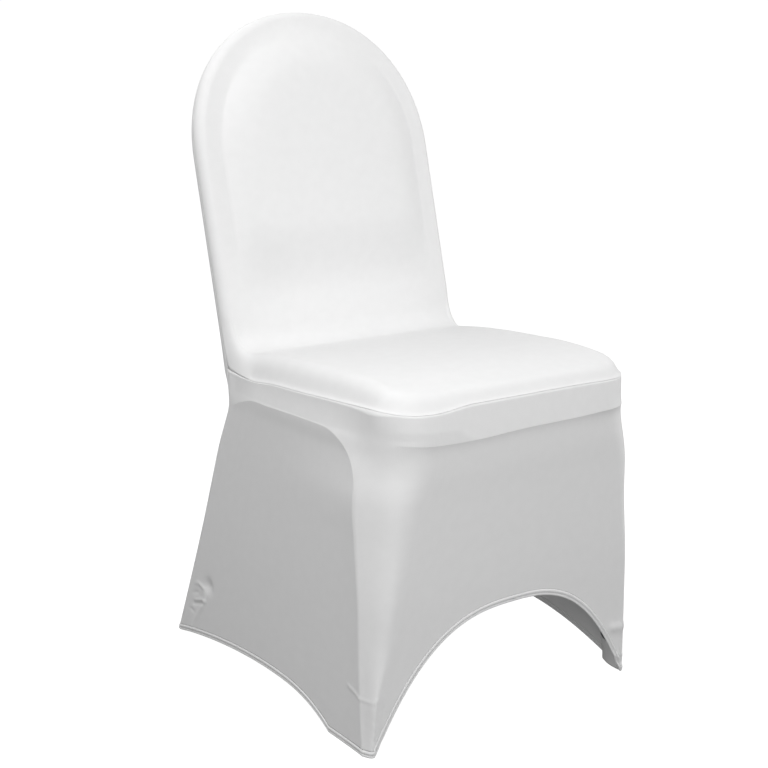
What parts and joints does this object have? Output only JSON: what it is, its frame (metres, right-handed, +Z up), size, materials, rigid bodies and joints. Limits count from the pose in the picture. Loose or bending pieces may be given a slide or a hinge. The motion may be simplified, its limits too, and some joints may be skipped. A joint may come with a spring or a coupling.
{
  "type": "fitted stretch cover for a banquet chair",
  "caption": "White stretch-knit chair cover in its fitted shape: round-topped padded back, crowned seat, flared skirt with an arch between the feet, bound lower edge and foot pouches.",
  "frame": {"origin": "middle of the bounding box in plan, on the plane that the four feet stand on", "axes": "+X to the right of someone facing the back from the front, across the seat; +Y from the seat's front to its back; +Z up"},
  "size_m": [0.4638, 0.5606, 0.9304],
  "materials": {
    "stretch_knit": "matt warp knit of fine filament yarn",
    "elastic_binding": "folded elastic binding, stitched"
  },
  "bodies": {
    "root": {"inside_panel": "stretch_knit", "rear_panel": "stretch_knit", "skirt": "stretch_knit", "hem_binding": "elastic_binding", "foot_pocket_front_left": "stretch_knit", "foot_pocket_front_right": "stretch_knit", "foot_pocket_rear_left": "stretch_knit", "foot_pocket_rear_right": "stretch_knit"}
  },
  "joints": []
}
